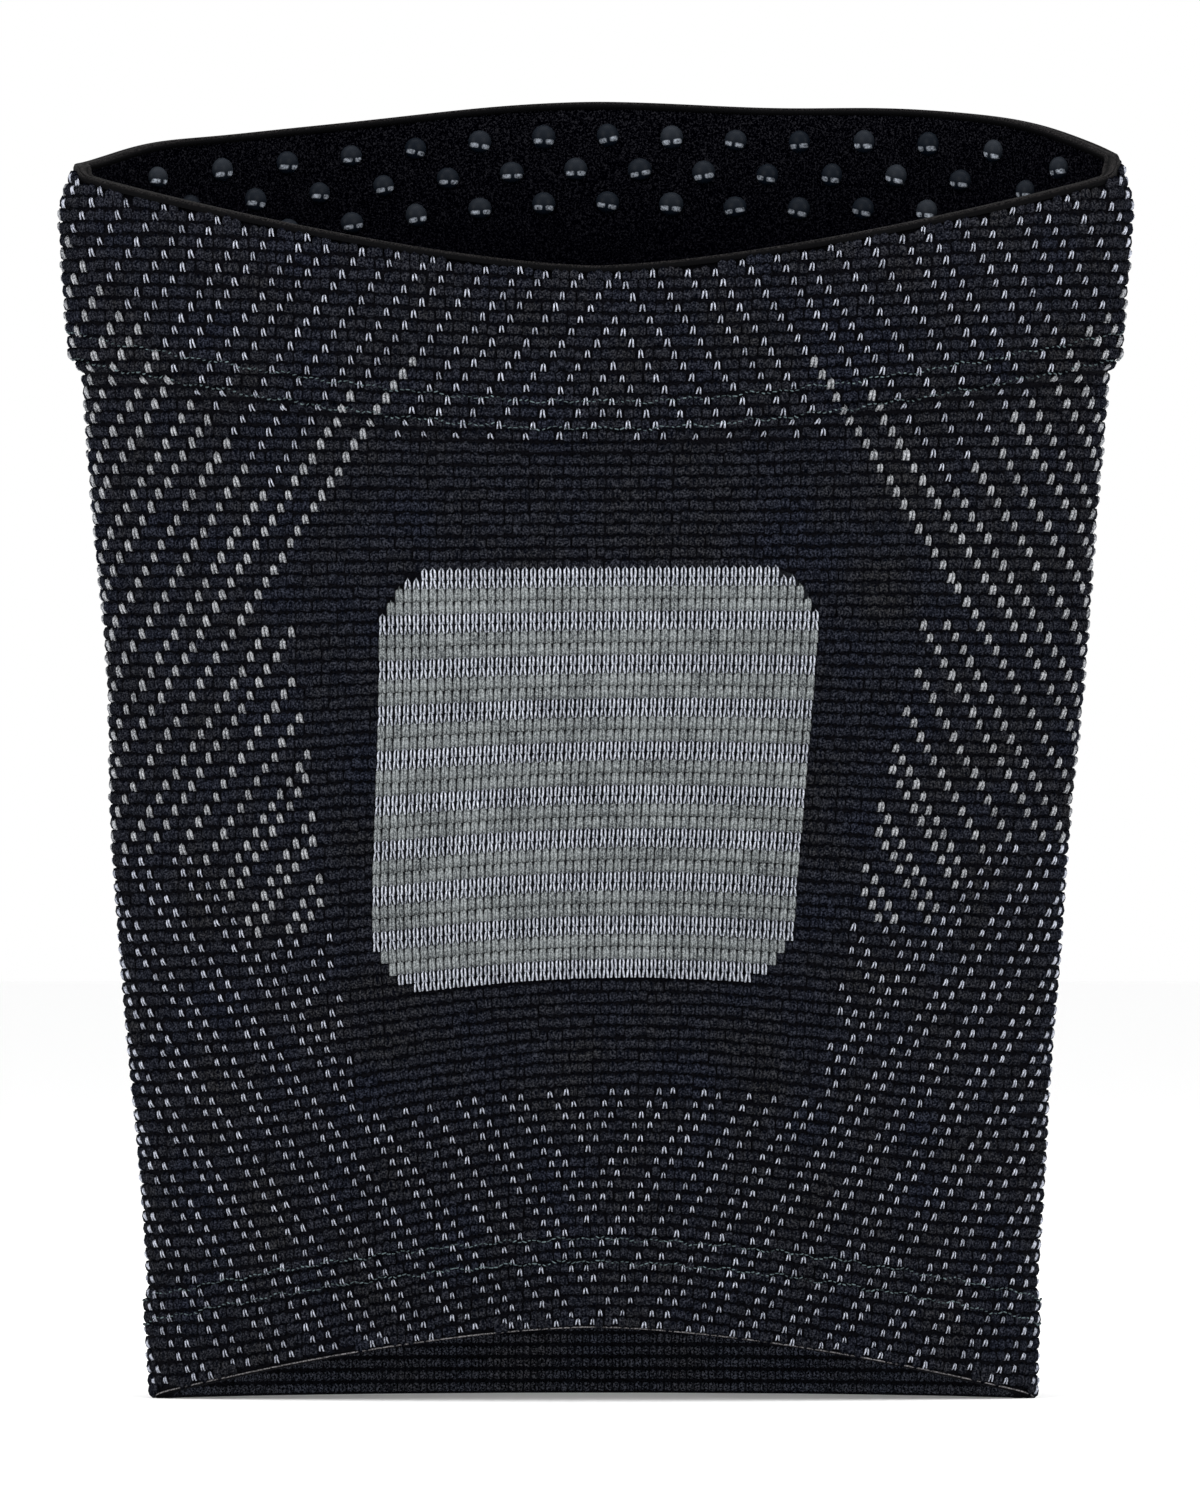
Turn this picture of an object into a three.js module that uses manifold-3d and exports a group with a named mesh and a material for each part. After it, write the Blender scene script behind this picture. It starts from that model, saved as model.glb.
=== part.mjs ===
import * as THREE from 'three';
import Module from 'manifold-3d';

// A knitted knee sleeve, standing on its lower rim. Millimetres, +Z up, the kneecap faces -Y.
// The origin is on the surface it stands on, below the middle of the sleeve.

// Whole sleeve
const SIDE_HEIGHT = 234; // lower rim to top rim at the two side folds
const BACK_RISE = 13.5; // the top rim climbs from the folds to the middle of the back
const FRONT_DIP = 19.5; // the top rim drops from the folds to the middle of the front
const FRONT_ARCH = 13.9; // the lower rim lifts at the middle of the front
const TOP_HALF_WIDTH = 100;
const FRONT_DEPTH = 40; // from the plane of the folds to the kneecap
const BACK_DEPTH = 50; // from the plane of the folds to the back
const FOLD_RADIUS = 7; // the tight bend of the cloth at each side
const WALL = 2.2; // the knit
const CLEARANCE = 0.3; // between neighbouring pieces
const EDGE_ROUND = 0.7; // the softened corners of a turned edge

// How fully each rim curve stays out before it turns in to the folds
const FRONT_RIM_CURVE = 1.5;
const BACK_RIM_CURVE = 1.7;
const LOWER_RIM_CURVE = 1.6;

// Top band, its brushed inner band and the satin edging on the rim
const BAND_HEIGHT = 31;
const BAND_PROUD = 2.2; // the doubled cloth stands out from the body
const GRIP_THICKNESS = 1;
const EDGING_HEIGHT = 0.9;
const EDGING_OVERHANG = 0.25;
const EDGING_SHOULDER = 0.55; // share of its height where it is widest
const EDGING_CROWN = 0.36; // share of its width that is its top

// Silicone dots on the inner band
const DOT_ROWS = 3;
const DOT_FIRST_DROP = 5.3; // first row below the top of the cloth
const DOT_ROW_PITCH = 6.4;
const DOT_PITCH = 12.5; // along a row
const DOT_TURN = 0.83; // how far the rows are turned round the leg, as a share of a dot's pitch
const DOT_RADIUS = 2.25;
const DOT_HEIGHT = 1.2;
const DOT_ROOT = 0.4; // how deep a dot is bonded into the band
const DOT_SHOULDER = { reach: 0.86, rise: 0.55 }; // shares of its radius and height

// Lower hem
const HEM_HEIGHT = 18;
const HEM_PROUD = 0.9;
const HEM_THICKNESS = 1.4;
const STEP = 3; // height over which the cloth steps in from a doubled zone

// Kneecap field
const PANEL_WIDTH = 83;
const PANEL_HEIGHT = 78.5;
const PANEL_CENTRE_HEIGHT = 118.4;
const PANEL_TILT = 0.0425; // how far its courses climb to the right, a share of the way across
const PANEL_CORNER = 8;
const PANEL_PROUD = 0.9;
const PANEL_SEAT = 1.2; // how deep the field is set into the knit

// Stitch columns, counted round from the middle of the front by the right fold
const HALF_WALES = 120; // middle of the front to middle of the back
const FOLD_WALES = 8; // round a fold, from face to face
const FACE_WALES = (HALF_WALES - FOLD_WALES) / 2; // middle of a face to the start of a fold

// Outline by height. up: share of SIDE_HEIGHT, in even steps. width: share of TOP_HALF_WIDTH.
// front: share of FRONT_DEPTH. back: share of BACK_DEPTH. lean: how far the middle stands to the
// right, a share of TOP_HALF_WIDTH.
const OUTLINE = [
  { up: 0.0, width: 0.832, front: 0.7, back: 0.88, lean: -0.006 },
  { up: 0.2, width: 0.859, front: 0.84, back: 0.86, lean: -0.009 },
  { up: 0.4, width: 0.897, front: 0.98, back: 0.84, lean: -0.015 },
  { up: 0.6, width: 0.927, front: 0.99, back: 0.88, lean: -0.001 },
  { up: 0.8, width: 0.966, front: 0.9, back: 0.95, lean: -0.005 },
  { up: 1.0, width: 1.0, front: 0.85, back: 1.0, lean: 0 },
];

// Soft waves of the top rim at the back. across: middle 0, right fold 1, left fold -1.
// spread: in the same shares. rise: share of BACK_RISE.
const RIM_WAVES = [
  { across: -0.94, spread: 0.08, rise: -0.15 },
  { across: -0.8, spread: 0.1, rise: 0.06 },
  { across: -0.42, spread: 0.22, rise: -0.05 },
  { across: 0.6, spread: 0.22, rise: 0.24 },
  { across: 0.82, spread: 0.16, rise: 0.24 },
];

// How finely the pieces are cut into facets
const FACE_STEPS = 8;
const FOLD_STEPS = 6;
const BODY_STEPS = 10;
const PANEL_SPOKES = 36;
const DOT_SIDES = 8;

// One column of the outline table at a height, on a smooth curve through its rows.
function outlineAt(column, height) {
  const last = OUTLINE.length - 1;
  const place = THREE.MathUtils.clamp(height / SIDE_HEIGHT, 0, 1) * last;
  const row = Math.min(Math.floor(place), last - 1);
  const at = (index) => OUTLINE[THREE.MathUtils.clamp(index, 0, last)][column];
  const [a, b, c, d] = [at(row - 1), at(row), at(row + 1), at(row + 2)];
  const t = place - row;
  return b + 0.5 * t * (c - a + t * (2 * a - 5 * b + 4 * c - d + t * (3 * (b - c) + d - a)));
}

// The arc of one face, front or back, that runs tangent into both folds.
function faceArc(halfWidth, depth) {
  const reach = halfWidth - FOLD_RADIUS;
  const radius = (reach ** 2 + depth ** 2 - FOLD_RADIUS ** 2) / (2 * (depth - FOLD_RADIUS));
  return { radius, centre: radius - depth, turn: Math.atan2(reach, radius - depth) };
}

// A stitch column's own side and its count from the middle of the front, whichever side it is on.
// across is 0 in the middle of the front or the back and 1 at the tip of a fold.
function sideOf(wale) {
  const isLeft = wale > HALF_WALES;
  const count = isLeft ? 2 * HALF_WALES - wale : wale;
  const half = HALF_WALES / 2;
  const across = 1 - Math.abs(count - half) / half;
  return { sign: isLeft ? -1 : 1, count, isBack: count > half, across };
}

// A point of the sleeve. lift is its distance outside the plain body.
function skin(wale, height, lift) {
  const halfWidth = TOP_HALF_WIDTH * outlineAt('width', height);
  const front = faceArc(halfWidth, FRONT_DEPTH * outlineAt('front', height));
  const back = faceArc(halfWidth, BACK_DEPTH * outlineAt('back', height));
  const { sign, count } = sideOf(wale);
  const left = HALF_WALES - count;
  let arc = { radius: FOLD_RADIUS, x: halfWidth - FOLD_RADIUS, y: 0 };
  let turn;
  if (count <= FACE_WALES) {
    arc = { radius: front.radius, x: 0, y: front.centre };
    turn = Math.asin((count / FACE_WALES) * Math.sin(front.turn));
  } else if (left <= FACE_WALES) {
    arc = { radius: back.radius, x: 0, y: -back.centre };
    turn = Math.PI - Math.asin((left / FACE_WALES) * Math.sin(back.turn));
  } else {
    const share = (count - FACE_WALES) / FOLD_WALES;
    turn = THREE.MathUtils.lerp(front.turn, Math.PI - back.turn, share);
  }
  const x = arc.x + (arc.radius + lift) * Math.sin(turn);
  const y = arc.y - (arc.radius + lift) * Math.cos(turn);
  const lean = TOP_HALF_WIDTH * outlineAt('lean', height);
  return new THREE.Vector3(sign * x + lean, y, height);
}

// Height of the top of the edging round the sleeve.
function rimHeight(wale) {
  const { sign, isBack, across } = sideOf(wale);
  if (!isBack) {
    return SIDE_HEIGHT - FRONT_DIP * (1 - across ** FRONT_RIM_CURVE);
  }
  let rise = 1 - across ** BACK_RIM_CURVE;
  for (const wave of RIM_WAVES) {
    const away = (sign * across - wave.across) / wave.spread;
    rise += wave.rise * (1 - across ** 8) * Math.exp(-(away ** 2));
  }
  return SIDE_HEIGHT + BACK_RISE * rise;
}

// Height of the top of the cloth, under the edging.
function clothTop(wale) {
  return rimHeight(wale) - EDGING_HEIGHT - CLEARANCE;
}

// Height of the lower rim round the sleeve.
function lowerHeight(wale) {
  const { isBack, across } = sideOf(wale);
  return isBack ? 0 : FRONT_ARCH * (1 - across ** LOWER_RIM_CURVE);
}

// How far the doubled top band and the doubled hem push the cloth out at a height.
function proud(wale, height) {
  const belowBand = (clothTop(wale) - height - BAND_HEIGHT) / STEP;
  const aboveHem = (height - lowerHeight(wale) - HEM_HEIGHT) / STEP;
  const band = BAND_PROUD * (1 - THREE.MathUtils.smoothstep(belowBand, 0, 1));
  const hem = HEM_PROUD * (1 - THREE.MathUtils.smoothstep(aboveHem, 0, 1));
  return band + hem;
}

// The stitch columns at which every ring piece has its facets, closer together in the folds.
function columnStations() {
  const half = [];
  for (let i = 0; i < FACE_STEPS; i += 1) {
    half.push((FACE_WALES * i) / FACE_STEPS);
  }
  for (let i = 0; i < FOLD_STEPS; i += 1) {
    half.push(FACE_WALES + (FOLD_WALES * i) / FOLD_STEPS);
  }
  for (let i = 0; i < FACE_STEPS; i += 1) {
    half.push(HALF_WALES - FACE_WALES + (FACE_WALES * i) / FACE_STEPS);
  }
  return [...half, ...half.map((wale) => wale + HALF_WALES)];
}

// A closed ring: the same outline of points, taken round the sleeve. sectionAt gives the outline
// at a column, down the outside and up the inside.
function ringGeometry(sectionAt) {
  const sections = columnStations().map(sectionAt);
  const around = sections.length;
  const along = sections[0].length;
  const positions = sections.flat().flatMap((point) => point.toArray());
  const index = [];
  for (let i = 0; i < around; i += 1) {
    for (let j = 0; j < along; j += 1) {
      const a = i * along + j;
      const b = i * along + ((j + 1) % along);
      const c = ((i + 1) % around) * along + ((j + 1) % along);
      const d = ((i + 1) % around) * along + j;
      index.push(a, b, c, a, c, d);
    }
  }
  return indexedGeometry(positions, index);
}

function indexedGeometry(positions, index) {
  const geometry = new THREE.BufferGeometry();
  geometry.setAttribute('position', new THREE.Float32BufferAttribute(positions, 3));
  geometry.setIndex(index);
  return geometry;
}

// Heights down a column of cloth, closer together at the rims and where the cloth steps in.
function clothHeights(wale) {
  const top = clothTop(wale);
  const low = lowerHeight(wale);
  const drops = [0, EDGE_ROUND, BAND_HEIGHT / 3, (2 * BAND_HEIGHT) / 3, BAND_HEIGHT, BAND_HEIGHT + STEP];
  const climbs = [HEM_HEIGHT + STEP, HEM_HEIGHT, HEM_HEIGHT / 2, EDGE_ROUND, 0];
  const bodyTop = top - BAND_HEIGHT - STEP;
  const bodyLow = low + HEM_HEIGHT + STEP;
  const body = [];
  for (let i = 1; i < BODY_STEPS; i += 1) {
    body.push(THREE.MathUtils.lerp(bodyTop, bodyLow, i / BODY_STEPS));
  }
  return [...drops.map((drop) => top - drop), ...body, ...climbs.map((climb) => low + climb)];
}

function sleeveSection(wale) {
  const heights = clothHeights(wale);
  const last = heights.length - 1;
  const outside = heights.map((height, i) => {
    const corner = i === 0 || i === last ? EDGE_ROUND : 0;
    return skin(wale, height, proud(wale, height) - corner);
  });
  const inside = heights.map((height) => skin(wale, height, proud(wale, height) - WALL));
  return [...outside, ...inside.reverse()];
}

// A band that lies inside the cloth, between two heights.
function liningSection(wale, top, low, thickness, rows) {
  const outside = [];
  const inside = [];
  for (let i = 0; i <= rows; i += 1) {
    const height = THREE.MathUtils.lerp(top, low, i / rows);
    const lift = proud(wale, height) - WALL - CLEARANCE;
    outside.push(skin(wale, height, lift));
    inside.push(skin(wale, height, lift - thickness));
  }
  return [...outside, ...inside.reverse()];
}

function gripSection(wale) {
  const top = clothTop(wale);
  return liningSection(wale, top, top - BAND_HEIGHT, GRIP_THICKNESS, 2);
}

function hemSection(wale) {
  const low = lowerHeight(wale);
  return liningSection(wale, low + HEM_HEIGHT, low, HEM_THICKNESS, 2);
}

// The edging covers the tops of the cloth and of the inner band.
function edgingSection(wale) {
  const top = rimHeight(wale);
  const low = top - EDGING_HEIGHT;
  const outer = BAND_PROUD + EDGING_OVERHANG;
  const inner = BAND_PROUD - WALL - CLEARANCE - GRIP_THICKNESS - EDGING_OVERHANG;
  const shoulder = low + EDGING_SHOULDER * EDGING_HEIGHT;
  return [
    skin(wale, top, THREE.MathUtils.lerp(inner, outer, 0.5 + EDGING_CROWN / 2)),
    skin(wale, shoulder, outer),
    skin(wale, low, outer - EDGING_OVERHANG),
    skin(wale, low, inner + EDGING_OVERHANG),
    skin(wale, shoulder, inner),
    skin(wale, top, THREE.MathUtils.lerp(inner, outer, 0.5 - EDGING_CROWN / 2)),
  ];
}

const wasm = await Module();
wasm.setup();

function toSolid(geometry) {
  return new wasm.Manifold(
    new wasm.Mesh({
      numProp: 3,
      vertProperties: geometry.getAttribute('position').array,
      triVerts: Uint32Array.from(geometry.getIndex().array),
    }),
  );
}

function fromSolid(solid) {
  const mesh = solid.getMesh();
  return indexedGeometry(Array.from(mesh.vertProperties), Array.from(mesh.triVerts));
}

// The round-cornered outline of the kneecap field, about its own middle, as evenly spaced points.
function panelOutline(grow) {
  const half = PANEL_WIDTH / 2 + grow;
  const up = PANEL_HEIGHT / 2 + grow;
  const corner = PANEL_CORNER + grow;
  const path = new THREE.Path();
  path.moveTo(half, 0);
  path.absarc(half - corner, up - corner, corner, 0, Math.PI / 2);
  path.absarc(corner - half, up - corner, corner, Math.PI / 2, Math.PI);
  path.absarc(corner - half, corner - up, corner, Math.PI, 1.5 * Math.PI);
  path.absarc(half - corner, corner - up, corner, 1.5 * Math.PI, 2 * Math.PI);
  path.closePath();
  return path.getSpacedPoints(PANEL_SPOKES).slice(0, PANEL_SPOKES);
}

// A patch of cloth in the shape of the kneecap field, between two distances from the plain body.
// Its rings run from the middle out; fall is how much lower the outside lies at each ring.
function patchGeometry(grow, lowLift, highLift, rings) {
  const outline = panelOutline(grow);
  const face = faceArc(
    TOP_HALF_WIDTH * outlineAt('width', PANEL_CENTRE_HEIGHT),
    FRONT_DEPTH * outlineAt('front', PANEL_CENTRE_HEIGHT),
  );
  const walePitch = (face.radius * Math.sin(face.turn)) / FACE_WALES;
  const place = (point, reach, lift) => {
    const wale = (reach * point.x) / walePitch;
    const round = wale < 0 ? wale + 2 * HALF_WALES : wale;
    return skin(round, PANEL_CENTRE_HEIGHT + reach * (point.y + PANEL_TILT * point.x), lift);
  };
  const outside = rings.map((ring) => outline.map((point) => place(point, ring.reach, highLift - ring.fall)));
  const inside = rings.map((ring) => outline.map((point) => place(point, ring.reach, lowLift)));
  const loops = [...outside, ...inside.reverse()].flat();
  const front = skin(0, PANEL_CENTRE_HEIGHT, highLift);
  const behind = skin(0, PANEL_CENTRE_HEIGHT, lowLift);
  const points = [front, ...loops, behind];
  const index = [];
  const loopCount = 2 * rings.length;
  const at = (loop, spoke) => 1 + loop * PANEL_SPOKES + (spoke % PANEL_SPOKES);
  for (let spoke = 0; spoke < PANEL_SPOKES; spoke += 1) {
    index.push(0, at(0, spoke), at(0, spoke + 1));
    for (let loop = 0; loop < loopCount - 1; loop += 1) {
      const [a, b] = [at(loop, spoke), at(loop + 1, spoke)];
      const [d, c] = [at(loop, spoke + 1), at(loop + 1, spoke + 1)];
      index.push(a, b, c, a, c, d);
    }
    index.push(points.length - 1, at(loopCount - 1, spoke + 1), at(loopCount - 1, spoke));
  }
  return indexedGeometry(points.flatMap((point) => point.toArray()), index);
}

const PANEL_RINGS = [
  { reach: 0.33, fall: 0 },
  { reach: 0.66, fall: 0 },
  { reach: 0.96, fall: 0.1 * PANEL_PROUD },
  { reach: 1, fall: 0.6 * PANEL_PROUD },
];
const SEAT_RINGS = [0.33, 0.66, 1].map((reach) => ({ reach, fall: 0 }));

// A low dome of silicone on the inner face of the band, pointing into the sleeve.
function dotGeometry(wale, height) {
  const lift = proud(wale, height) - WALL - CLEARANCE - GRIP_THICKNESS;
  const foot = skin(wale, height, lift);
  const normal = skin(wale, height, lift - DOT_HEIGHT).sub(foot).normalize();
  const profile = [
    [DOT_RADIUS, -DOT_ROOT],
    [DOT_SHOULDER.reach * DOT_RADIUS, DOT_SHOULDER.rise * DOT_HEIGHT],
  ];
  const positions = [];
  const up = new THREE.Vector3(0, 0, 1);
  const sideways = new THREE.Vector3().crossVectors(up, normal).normalize();
  const upright = new THREE.Vector3().crossVectors(normal, sideways).normalize();
  const add = (radius, rise, angle) => {
    const point = foot.clone().addScaledVector(normal, rise);
    point.addScaledVector(sideways, radius * Math.cos(angle));
    point.addScaledVector(upright, radius * Math.sin(angle));
    positions.push(...point.toArray());
  };
  add(0, -DOT_ROOT, 0);
  for (const [radius, rise] of profile) {
    for (let i = 0; i < DOT_SIDES; i += 1) {
      add(radius, rise, (2 * Math.PI * i) / DOT_SIDES);
    }
  }
  add(0, DOT_HEIGHT, 0);
  const index = [];
  const top = 2 * DOT_SIDES + 1;
  for (let i = 0; i < DOT_SIDES; i += 1) {
    const next = (i + 1) % DOT_SIDES;
    index.push(0, 1 + next, 1 + i);
    index.push(1 + i, 1 + next, 1 + DOT_SIDES + next);
    index.push(1 + i, 1 + DOT_SIDES + next, 1 + DOT_SIDES + i);
    index.push(top, 1 + DOT_SIDES + i, 1 + DOT_SIDES + next);
  }
  return indexedGeometry(positions, index);
}

// Length of the inner face of the band round the sleeve, which sets how many dots a row has.
function dotsInRow() {
  const stations = columnStations();
  const points = stations.map((wale) => skin(wale, SIDE_HEIGHT - BAND_HEIGHT / 2, -WALL));
  const length = points.reduce((sum, point, i) => sum + point.distanceTo(points[(i + 1) % points.length]), 0);
  return 2 * Math.round(length / DOT_PITCH / 2);
}

function gripGeometry() {
  let band = toSolid(ringGeometry(gripSection));
  const count = dotsInRow();
  for (let row = 0; row < DOT_ROWS; row += 1) {
    const shift = row % 2 === 0 ? 0 : 0.5;
    for (let i = 0; i < count; i += 1) {
      const wale = ((2 * HALF_WALES * (i + shift + DOT_TURN)) / count) % (2 * HALF_WALES);
      const height = clothTop(wale) - DOT_FIRST_DROP - row * DOT_ROW_PITCH;
      band = band.add(toSolid(dotGeometry(wale, height)));
    }
  }
  return fromSolid(band);
}

function knitGeometry() {
  const tube = toSolid(ringGeometry(sleeveSection));
  const seat = patchGeometry(CLEARANCE, -PANEL_SEAT, PANEL_PROUD + WALL, SEAT_RINGS);
  return fromSolid(tube.subtract(toSolid(seat)));
}

function cloth(color, roughness) {
  return new THREE.MeshStandardMaterial({ color, roughness, metalness: 0 });
}

function piece(name, geometry, material) {
  geometry.computeVertexNormals();
  const mesh = new THREE.Mesh(geometry, material);
  mesh.name = name;
  return mesh;
}

const group = new THREE.Group();
group.add(
  piece('sleeve_knit', knitGeometry(), cloth(0x1c1e24, 0.9)),
  piece(
    'kneecap_panel',
    patchGeometry(0, CLEARANCE - PANEL_SEAT, PANEL_PROUD, PANEL_RINGS),
    cloth(0x8d918e, 0.9),
  ),
  piece('grip_band', gripGeometry(), cloth(0x0e0f12, 0.95)),
  piece('rim_edging', ringGeometry(edgingSection), cloth(0x111114, 0.45)),
  piece('lower_hem', ringGeometry(hemSection), cloth(0x17181c, 0.9)),
);

// The sleeve stands on its lower rim, with the origin below the middle of its box.
const box = new THREE.Box3().setFromObject(group);
const middle = box.getCenter(new THREE.Vector3());
group.position.set(-middle.x, -middle.y, -box.min.z);

export default group;
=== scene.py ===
import math

import bpy
import numpy as np
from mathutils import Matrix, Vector


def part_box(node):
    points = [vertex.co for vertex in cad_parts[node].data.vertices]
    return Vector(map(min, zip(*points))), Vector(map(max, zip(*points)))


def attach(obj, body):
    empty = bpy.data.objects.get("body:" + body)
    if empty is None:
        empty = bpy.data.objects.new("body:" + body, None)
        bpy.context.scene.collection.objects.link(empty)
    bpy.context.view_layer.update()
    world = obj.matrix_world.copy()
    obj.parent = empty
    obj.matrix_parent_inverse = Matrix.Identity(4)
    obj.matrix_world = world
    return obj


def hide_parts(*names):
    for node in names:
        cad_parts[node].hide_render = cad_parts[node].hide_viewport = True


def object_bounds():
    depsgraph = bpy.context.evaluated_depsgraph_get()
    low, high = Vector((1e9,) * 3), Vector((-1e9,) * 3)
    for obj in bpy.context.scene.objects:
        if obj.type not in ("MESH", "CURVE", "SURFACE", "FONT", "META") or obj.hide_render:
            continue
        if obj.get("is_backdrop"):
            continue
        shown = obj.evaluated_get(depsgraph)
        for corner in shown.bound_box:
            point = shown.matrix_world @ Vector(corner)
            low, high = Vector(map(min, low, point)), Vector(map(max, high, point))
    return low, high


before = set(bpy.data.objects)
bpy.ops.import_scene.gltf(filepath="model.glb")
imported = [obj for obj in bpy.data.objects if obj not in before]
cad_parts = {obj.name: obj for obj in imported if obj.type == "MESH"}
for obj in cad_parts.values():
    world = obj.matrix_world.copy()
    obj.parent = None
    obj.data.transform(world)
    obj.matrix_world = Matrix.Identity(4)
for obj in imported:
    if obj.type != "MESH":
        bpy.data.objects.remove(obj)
cad_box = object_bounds()

# The sleeve's cloth: one tube of thick elastic knit whose courses run round the leg, closed by a tight
# fold at each side. A doubled band at the top and a doubled hem at the foot stand out from the body.
# Lengths are in millimetres until a mesh is made.
SIDE_HEIGHT = 234
BACK_RISE = 13.5
FRONT_DIP = 19.5
FRONT_ARCH = 13.9
TOP_HALF_WIDTH = 100
FRONT_DEPTH = 40
BACK_DEPTH = 50
FOLD_RADIUS = 7
WALL = 2.2
CLEARANCE = 0.3
FRONT_RIM_CURVE = 1.5
BACK_RIM_CURVE = 1.7
LOWER_RIM_CURVE = 1.6
BAND_HEIGHT = 31
BAND_PROUD = 2.2
EDGING_HEIGHT = 0.9
HEM_HEIGHT = 18
HEM_PROUD = 0.9
HEM_STEP = 3
BAND_STEP, BAND_FOLD_DROP = 4, 3.5
TUCK_START, TUCK_HEIGHT, TUCK_DEPTH = 0.88, 10, 2.4
SLACK_DEPTH, SLACK_LENGTHS, SLACK_TURNS = 0.25, (11, 29), (8, -5)
HALF_WALES = 120
FOLD_WALES = 8
FACE_WALES = (HALF_WALES - FOLD_WALES) / 2
OUTLINE_WIDTH = (0.832, 0.859, 0.897, 0.927, 0.966, 1.0)
OUTLINE_FRONT = (0.7, 0.84, 0.98, 0.99, 0.9, 0.85)
OUTLINE_BACK = (0.88, 0.86, 0.84, 0.88, 0.95, 1.0)
OUTLINE_LEAN = (-0.006, -0.009, -0.015, -0.001, -0.005, 0.0)
RIM_WAVES = (
    {"across": -0.94, "spread": 0.08, "rise": -0.15},
    {"across": -0.8, "spread": 0.1, "rise": 0.06},
    {"across": -0.42, "spread": 0.22, "rise": -0.05},
    {"across": 0.6, "spread": 0.22, "rise": 0.24},
    {"across": 0.82, "spread": 0.16, "rise": 0.24},
)
WAVE_FADE = 8  # the waves of the rim die away at the folds by this power
MILLIMETRE = 0.001
WALES = 2 * HALF_WALES

# The plane of the two side folds, which the frame puts in front of the middle of the box
fold_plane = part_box("sleeve_knit")[1].y / MILLIMETRE - BACK_DEPTH - BAND_PROUD


def outline_at(column, height):
    """One column of the outline at a height, on a smooth curve through its rows."""
    table = np.array(column)
    last = len(table) - 1
    place = np.clip(height / SIDE_HEIGHT, 0, 1) * last
    row = np.minimum(np.floor(place).astype(int), last - 1)
    a, b = table[np.maximum(row - 1, 0)], table[row]
    c, d = table[row + 1], table[np.minimum(row + 2, last)]
    t = place - row
    return b + 0.5 * t * (c - a + t * (2 * a - 5 * b + 4 * c - d + t * (3 * (b - c) + d - a)))


def face_arc(half_width, depth):
    """Radius, middle and turn of the arc of one face, which runs tangent into both folds."""
    reach = half_width - FOLD_RADIUS
    radius = (reach**2 + depth**2 - FOLD_RADIUS**2) / (2 * (depth - FOLD_RADIUS))
    return radius, radius - depth, np.arctan2(reach, radius - depth)


def side_of(wale):
    """Side, count from the front's middle, and share of the way from a face's middle to its fold."""
    wale = np.mod(wale, WALES)
    is_left = wale > HALF_WALES
    count = np.where(is_left, WALES - wale, wale)
    half = HALF_WALES / 2
    return np.where(is_left, -1.0, 1.0), count, 1 - np.abs(count - half) / half


def skin(wale, height, lift):
    """Points of the plain sleeve, raised off it by lift."""
    half_width = TOP_HALF_WIDTH * outline_at(OUTLINE_WIDTH, height)
    front_depth = FRONT_DEPTH * outline_at(OUTLINE_FRONT, height)
    back_depth = BACK_DEPTH * outline_at(OUTLINE_BACK, height)
    front_radius, front_centre, front_turn = face_arc(half_width, front_depth)
    back_radius, back_centre, back_turn = face_arc(half_width, back_depth)
    sign, count, _ = side_of(wale)
    left = HALF_WALES - count
    on_front, on_back = count <= FACE_WALES, left <= FACE_WALES
    front_angle = np.arcsin(np.clip(count / FACE_WALES, 0, 1) * np.sin(front_turn))
    back_angle = np.pi - np.arcsin(np.clip(left / FACE_WALES, 0, 1) * np.sin(back_turn))
    share = (count - FACE_WALES) / FOLD_WALES
    fold_angle = front_turn + share * (np.pi - back_turn - front_turn)
    turn = np.where(on_front, front_angle, np.where(on_back, back_angle, fold_angle))
    radius = np.where(on_front, front_radius, np.where(on_back, back_radius, FOLD_RADIUS)) + lift
    x = np.where(on_front | on_back, 0, half_width - FOLD_RADIUS) + radius * np.sin(turn)
    y = np.where(on_front, front_centre, np.where(on_back, -back_centre, 0)) - radius * np.cos(turn)
    lean = TOP_HALF_WIDTH * outline_at(OUTLINE_LEAN, height)
    return np.stack([sign * x + lean, y + fold_plane, height + 0 * x], axis=-1)


def rim_height(wale):
    """Top of the rim: it dips at the front and rises in soft waves at the back."""
    sign, count, across = side_of(wale)
    rise = 1 - across**BACK_RIM_CURVE
    for wave in RIM_WAVES:
        away = (sign * across - wave["across"]) / wave["spread"]
        rise = rise + wave["rise"] * (1 - across**WAVE_FADE) * np.exp(-(away**2))
    front = SIDE_HEIGHT - FRONT_DIP * (1 - across**FRONT_RIM_CURVE)
    return np.where(count > HALF_WALES / 2, SIDE_HEIGHT + BACK_RISE * rise, front)


def cloth_top(wale):
    """Where the cloth ends below the edging."""
    return rim_height(wale) - EDGING_HEIGHT - CLEARANCE


def lower_height(wale):
    """Foot of the sleeve: level at the back, and an arch at the front."""
    _, count, across = side_of(wale)
    return np.where(count > HALF_WALES / 2, 0, FRONT_ARCH * (1 - across**LOWER_RIM_CURVE))


def smooth(share):
    """0 to 1, starting and ending gently."""
    share = np.clip(share, 0, 1)
    return share * share * (3 - 2 * share)


def tuck(wale, height):
    """How far the corners of the top are drawn in, where the rim turns over the folds."""
    near_fold = smooth((side_of(wale)[2] - TUCK_START) / (1 - TUCK_START))
    return TUCK_DEPTH * near_fold * smooth((height - cloth_top(wale)) / TUCK_HEIGHT + 1) ** 2


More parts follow.
